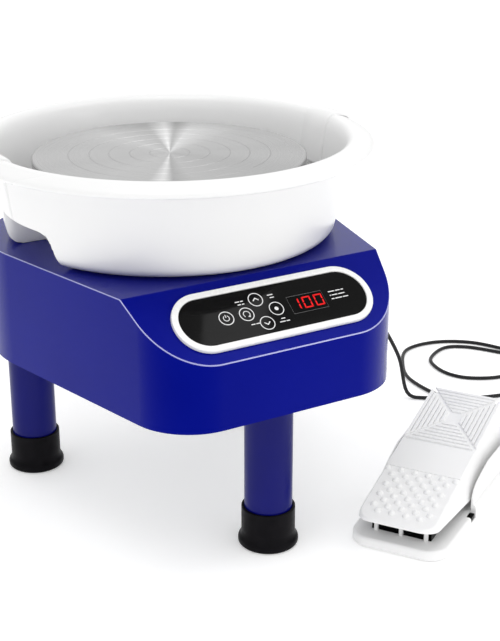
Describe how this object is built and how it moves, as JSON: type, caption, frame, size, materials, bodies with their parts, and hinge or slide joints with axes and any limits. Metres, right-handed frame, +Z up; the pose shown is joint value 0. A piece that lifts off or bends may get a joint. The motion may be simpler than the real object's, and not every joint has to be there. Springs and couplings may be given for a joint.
{
  "type": "pottery wheel",
  "caption": "Tabletop pottery wheel: blue three-legged housing, turned wheel head, white splash basin in two halves, touch panel and a foot pedal on a loose cord.",
  "frame": {"origin": "centre of the wheel head's top face", "axes": "+Z up along the wheel's axis; the sloped control panel faces -Y; +X to the right of someone facing the panel"},
  "size_m": [0.7573, 0.5242, 0.3808],
  "materials": {
    "blue_coat": "gloss powder coat",
    "basin_plastic": "gloss",
    "bezel_plastic": "gloss",
    "pedal_plastic": "satin",
    "panel_glass": "gloss",
    "display": "gloss",
    "black_plastic": "satin",
    "rubber": "matte",
    "circuit_board": "solder mask",
    "turned_aluminium": "turned",
    "cast_aluminium": "satin",
    "lamination": "satin",
    "steel": "zinc plated",
    "cord": "satin"
  },
  "bodies": {
    "root": {"housing_shell": "blue_coat", "base_plate": "steel", "base_plate_screw_1": "steel", "base_plate_screw_2": "steel", "base_plate_screw_3": "steel", "base_plate_screw_4": "steel", "leg_front": "blue_coat", "leg_stud_front": "steel", "foot_front": "rubber", "leg_rear_left": "blue_coat", "leg_stud_rear_left": "steel", "foot_rear_left": "rubber", "leg_rear_right": "blue_coat", "leg_stud_rear_right": "steel", "foot_rear_right": "rubber", "motor_flange": "cast_aluminium", "motor_can": "cast_aluminium", "stator_core": "lamination", "bearing_upper": "steel", "bearing_lower": "steel", "motor_nut_1": "steel", "motor_nut_2": "steel", "motor_nut_3": "steel", "motor_nut_4": "steel", "panel_bezel": "bezel_plastic", "panel_glass": "panel_glass", "display_module": "display", "touch_key_film": "black_plastic", "control_board": "circuit_board", "driver_board": "circuit_board", "heat_sink": "cast_aluminium", "smoothing_capacitor": "black_plastic", "power_choke": "lamination", "power_inlet": "black_plastic", "fuse_drawer": "black_plastic", "cord_gland": "black_plastic", "cord_gland_nut": "black_plastic", "pedal_base": "pedal_plastic", "pedal_bottom_cover": "pedal_plastic", "pedal_pin": "steel", "pedal_pad_1": "rubber", "pedal_pad_2": "rubber", "pedal_pad_3": "rubber", "pedal_pad_4": "rubber", "pedal_spring": "steel", "pedal_sensor_board": "circuit_board", "pedal_cord_gland": "black_plastic", "pedal_cord": "cord"},
    "wheel": {"rotor": "lamination", "spindle": "steel", "hub_adaptor": "cast_aluminium", "wheel_head": "turned_aluminium", "wheel_head_screw_1": "steel", "wheel_head_screw_2": "steel", "wheel_head_screw_3": "steel"},
    "basin_front": {"basin_front": "basin_plastic"},
    "basin_rear": {"basin_rear": "basin_plastic"},
    "pedal_treadle": {"pedal_treadle": "pedal_plastic", "pedal_magnet": "lamination"}
  },
  "joints": [
    {"name": "wheel_spin", "type": "hinge", "parent": "root", "child": "wheel", "pos_m": [0, 0, 0], "axis": [0, 0, 1], "continuous": true},
    {"name": "basin_front_slide", "type": "slide", "parent": "root", "child": "basin_front", "axis": [0, -1, 0], "range_m": [0, 0.22]},
    {"name": "basin_rear_slide", "type": "slide", "parent": "root", "child": "basin_rear", "axis": [0, 1, 0], "range_m": [0, 0.25]},
    {"name": "pedal_press", "type": "hinge", "parent": "root", "child": "pedal_treadle", "pos_m": [0.22925, -0.19204, -0.318], "axis": [0.5446, -0.8387, 0], "range_deg": [0, 3.5], "stiffness_Nm_per_rad": 6, "springref_deg": -6.88, "deforming": ["pedal_spring"]}
  ]
}
